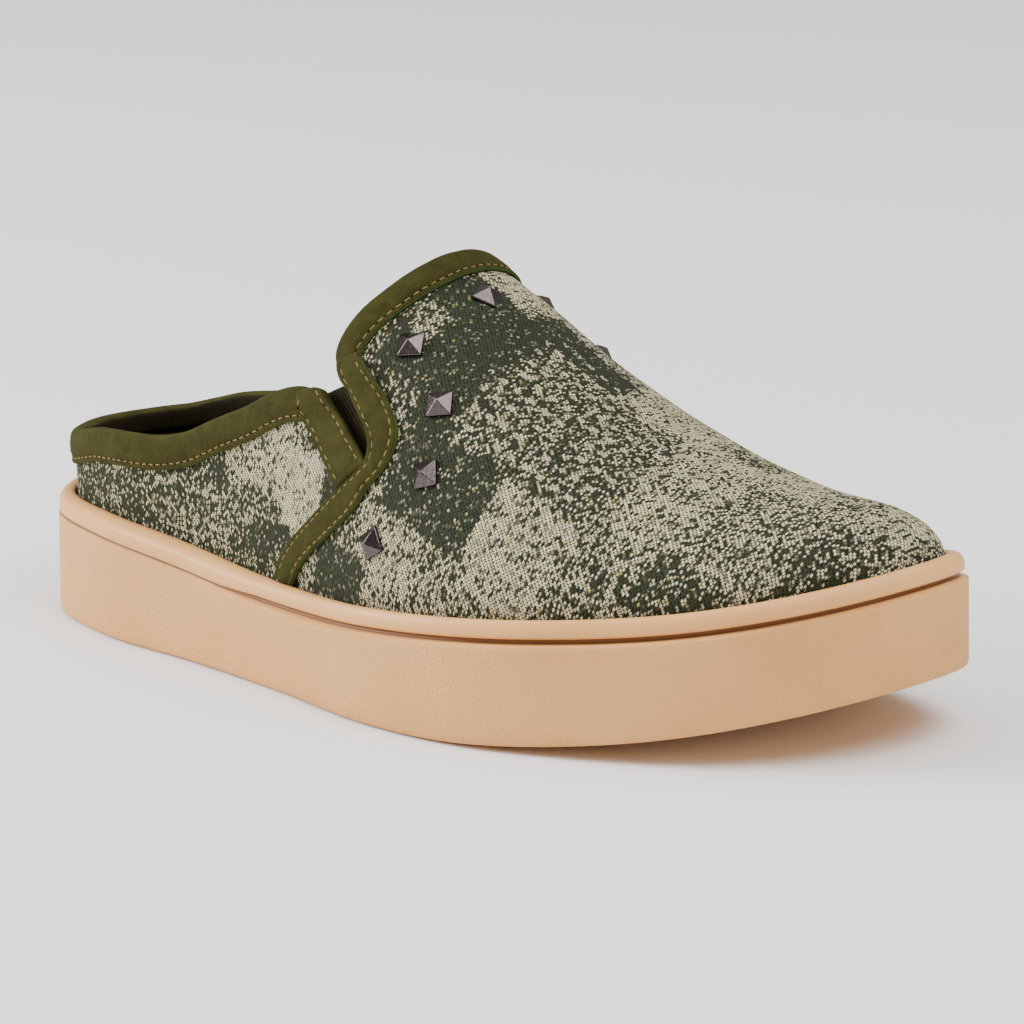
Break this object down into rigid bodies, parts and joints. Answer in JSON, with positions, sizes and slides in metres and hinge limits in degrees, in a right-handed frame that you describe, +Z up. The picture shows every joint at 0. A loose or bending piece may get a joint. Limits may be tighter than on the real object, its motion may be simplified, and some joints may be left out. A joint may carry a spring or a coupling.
{
  "type": "slip-on shoe",
  "caption": "Low-backed slip-on shoe with a thick tan cupsole, woven camouflage-pattern upper, olive bindings, elastic gores and pyramid studs.",
  "frame": {"origin": "floor under the middle of the bounding box", "axes": "+X from the heel to the toe, +Y to the inner side of the foot, +Z up"},
  "size_m": [0.2721, 0.106, 0.1053],
  "materials": {
    "sole_rubber": "matte, fine grain",
    "textile": "woven twill with gold yarn",
    "olive_suede": "napped",
    "elastic": "ribbed",
    "lining": "matte",
    "gunmetal": "dark plated, polished"
  },
  "bodies": {
    "root": {"sole": "sole_rubber", "insole": "lining", "upper": "textile", "gore_lateral": "elastic", "gore_medial": "elastic", "collar_binding": "olive_suede", "throat_binding": "olive_suede", "vamp_strip_lateral": "olive_suede", "vamp_strip_medial": "olive_suede", "quarter_strip_lateral": "olive_suede", "quarter_strip_medial": "olive_suede", "stud_1": "gunmetal", "stud_2": "gunmetal", "stud_3": "gunmetal", "stud_4": "gunmetal", "stud_5": "gunmetal", "stud_6": "gunmetal", "stud_7": "gunmetal", "stud_8": "gunmetal", "stud_9": "gunmetal"}
  },
  "joints": []
}
